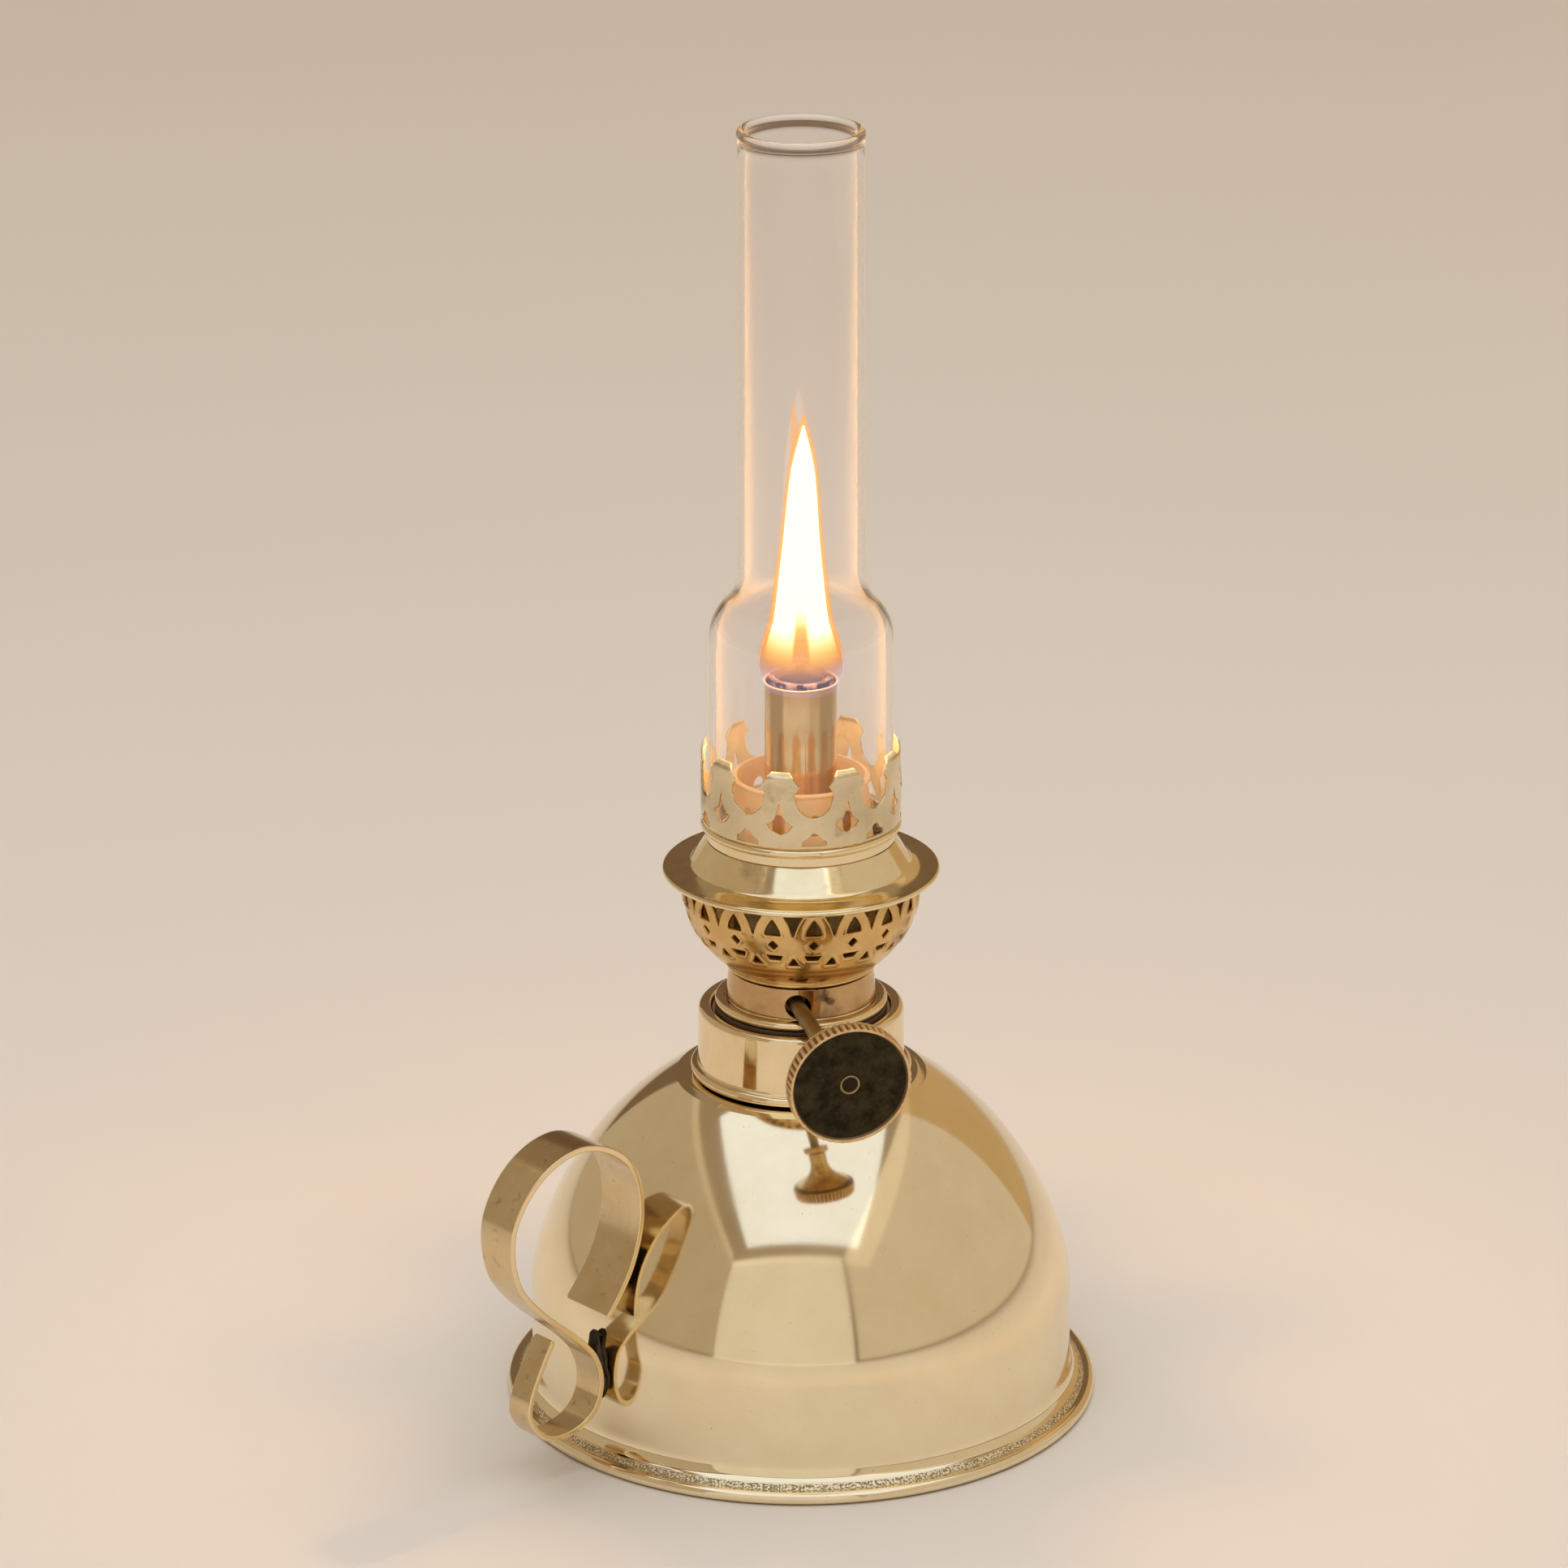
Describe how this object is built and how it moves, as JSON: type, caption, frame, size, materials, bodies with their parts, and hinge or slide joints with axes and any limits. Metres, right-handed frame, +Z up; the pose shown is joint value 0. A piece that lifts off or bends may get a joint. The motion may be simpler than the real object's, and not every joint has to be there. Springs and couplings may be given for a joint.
{
  "type": "oil hand lamp",
  "caption": "Brass oil hand lamp: domed font with finger handle, screw-in round-wick burner with pierced basket and crown, knurled winder knob and glass chimney.",
  "frame": {"origin": "centre of the base's underside, on the lamp's axis", "axes": "+Z up the lamp's axis, -Y towards the front, where the winder knob is, +X to the right"},
  "size_m": [0.1174, 0.1148, 0.252],
  "materials": {
    "polished_brass": "mirror polished, pale warm yellow",
    "satin_brass": "brushed and lightly tarnished",
    "aged_brass": "unpolished, brown with age",
    "knob_brass": "dark patinated face with bright worn edges",
    "solder": "dull dark solder",
    "gasket": "oil-dark",
    "wick": "woven cotton, charred at the top",
    "glass": "clear, fire-polished"
  },
  "bodies": {
    "font": {"font_shell": "polished_brass", "font_base_plate": "satin_brass", "font_collar": "polished_brass", "finger_handle": "satin_brass", "handle_solder": "solder"},
    "gasket": {"collar_gasket": "gasket"},
    "burner": {"screw_ring": "polished_brass", "burner_neck": "polished_brass", "air_basket": "satin_brass", "throat_bell": "aged_brass", "air_sieve": "aged_brass", "draught_ring": "satin_brass", "draught_cone": "polished_brass", "gallery_seat": "polished_brass", "gallery_bead": "polished_brass", "gallery_crown": "polished_brass", "wick_tube": "satin_brass", "air_tube": "aged_brass", "wheel_cage": "aged_brass", "shaft_gland": "aged_brass"},
    "winder": {"winder_shaft": "satin_brass", "star_wheel_front": "aged_brass", "star_wheel_rear": "aged_brass", "knob_disc": "knob_brass", "knob_hub": "aged_brass"},
    "wick": {"wick": "wick"},
    "chimney": {"glass_chimney": "glass"}
  },
  "joints": [
    {"name": "burner_lift", "type": "slide", "parent": "font", "child": "gasket", "axis": [0, 0, 1], "range_m": [0, 0.0045]},
    {"name": "burner_unscrew", "type": "hinge", "parent": "gasket", "child": "burner", "pos_m": [0, 0, 0.08], "axis": [0, 0, 1], "range_deg": [0, 1080]},
    {"name": "wick_knob_turn", "type": "hinge", "parent": "burner", "child": "winder", "pos_m": [-0.0005, -0.0142, 0.084], "axis": [0.2816, -0.9567, -0.0732], "range_deg": [-114.5, 114.5]},
    {"name": "wick_raise", "type": "slide", "parent": "burner", "child": "wick", "axis": [0, 0, 1], "range_m": [-0.006, 0.006]},
    {"name": "chimney_lift", "type": "slide", "parent": "burner", "child": "chimney", "axis": [0, 0, 1], "range_m": [0, 0.07]}
  ],
  "couplings": [
    {"joint": "burner_lift", "follows": "burner_unscrew", "m_per_rad": 0.0002387},
    {"joint": "wick_raise", "follows": "wick_knob_turn", "m_per_rad": 0.003}
  ]
}
